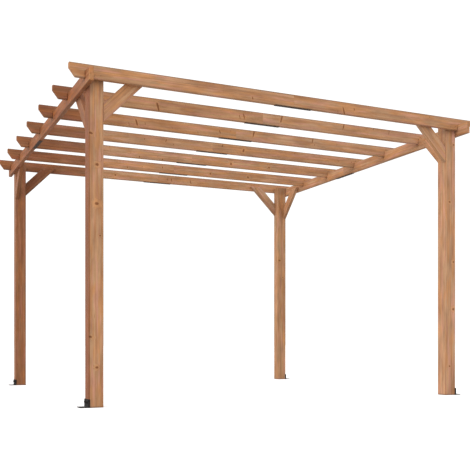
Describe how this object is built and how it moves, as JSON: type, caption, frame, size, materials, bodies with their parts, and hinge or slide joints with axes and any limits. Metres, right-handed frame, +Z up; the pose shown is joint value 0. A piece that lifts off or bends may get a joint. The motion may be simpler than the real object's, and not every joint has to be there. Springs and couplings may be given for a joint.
{
  "type": "wooden pergola",
  "caption": "Free-standing square timber pergola: square posts, side beams, rafters with slant-cut ends lapped over the beams, corner braces, steel join plates and steel feet.",
  "frame": {"origin": "on the ground in the middle of the plan", "axes": "+X along the rafters to the right, +Y from the front to the rear, +Z up"},
  "size_m": [3.27, 3.27, 2.22],
  "materials": {
    "timber": "brown pressure-treated softwood, planed, matt",
    "black_steel": "black powder coat, satin"
  },
  "bodies": {
    "root": {"front_left_beam_brace": "timber", "front_left_post": "timber", "front_left_rafter_brace": "timber", "front_right_beam_brace": "timber", "front_right_post": "timber", "front_right_rafter_brace": "timber", "left_beam_front_length": "timber", "left_beam_rear_length": "timber", "rafter_1_left_half": "timber", "rafter_1_right_half": "timber", "rafter_2_left_half": "timber", "rafter_2_right_half": "timber", "rafter_3_left_half": "timber", "rafter_3_right_half": "timber", "rafter_4_left_half": "timber", "rafter_4_right_half": "timber", "rafter_5_left_half": "timber", "rafter_5_right_half": "timber", "rafter_6_left_half": "timber", "rafter_6_right_half": "timber", "rafter_7_left_half": "timber", "rafter_7_right_half": "timber", "rear_left_beam_brace": "timber", "rear_left_post": "timber", "rear_left_rafter_brace": "timber", "rear_right_beam_brace": "timber", "rear_right_post": "timber", "rear_right_rafter_brace": "timber", "right_beam_front_length": "timber", "right_beam_rear_length": "timber", "front_left_foot_bracket": "black_steel", "front_right_foot_bracket": "black_steel", "left_beam_join_plate": "black_steel", "rafter_1_join_plate": "black_steel", "rafter_2_join_plate": "black_steel", "rafter_3_join_plate": "black_steel", "rafter_4_join_plate": "black_steel", "rafter_5_join_plate": "black_steel", "rafter_6_join_plate": "black_steel", "rafter_7_join_plate": "black_steel", "rear_left_foot_bracket": "black_steel", "rear_right_foot_bracket": "black_steel", "right_beam_join_plate": "black_steel"}
  },
  "joints": []
}
